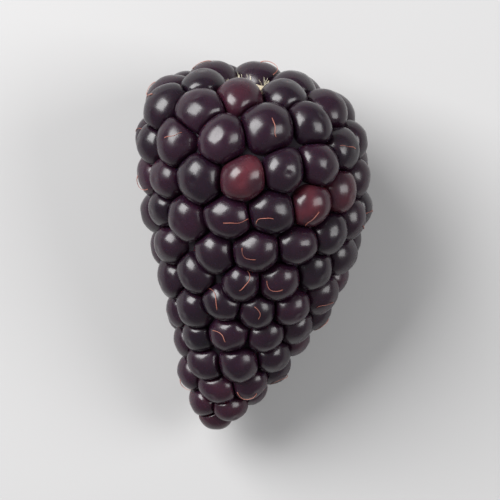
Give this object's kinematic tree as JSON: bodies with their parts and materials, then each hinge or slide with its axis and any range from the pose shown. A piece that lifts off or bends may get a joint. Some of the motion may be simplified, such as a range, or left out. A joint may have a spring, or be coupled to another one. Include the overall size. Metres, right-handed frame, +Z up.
{
  "type": "bramble berry",
  "caption": "Ripe dark bramble berry lying on its side: rows of round glossy drupelets over a tapering body, with the pale broken end of its stalk showing at the base.",
  "frame": {"origin": "on the surface that the berry lies on, under the middle of its bounding box", "axes": "+Z up, +Y towards the base of the berry, -Y towards its tip, +X towards the side it bows out to"},
  "size_m": [0.0256, 0.0394, 0.0253],
  "materials": {
    "skin": "glossy, wet-looking, near-black purple with a few wine-red drupelets",
    "pale_fibre": "matte, pale and fibrous"
  },
  "bodies": {
    "root": {"drupelets": "skin", "receptacle": "pale_fibre"}
  },
  "joints": []
}
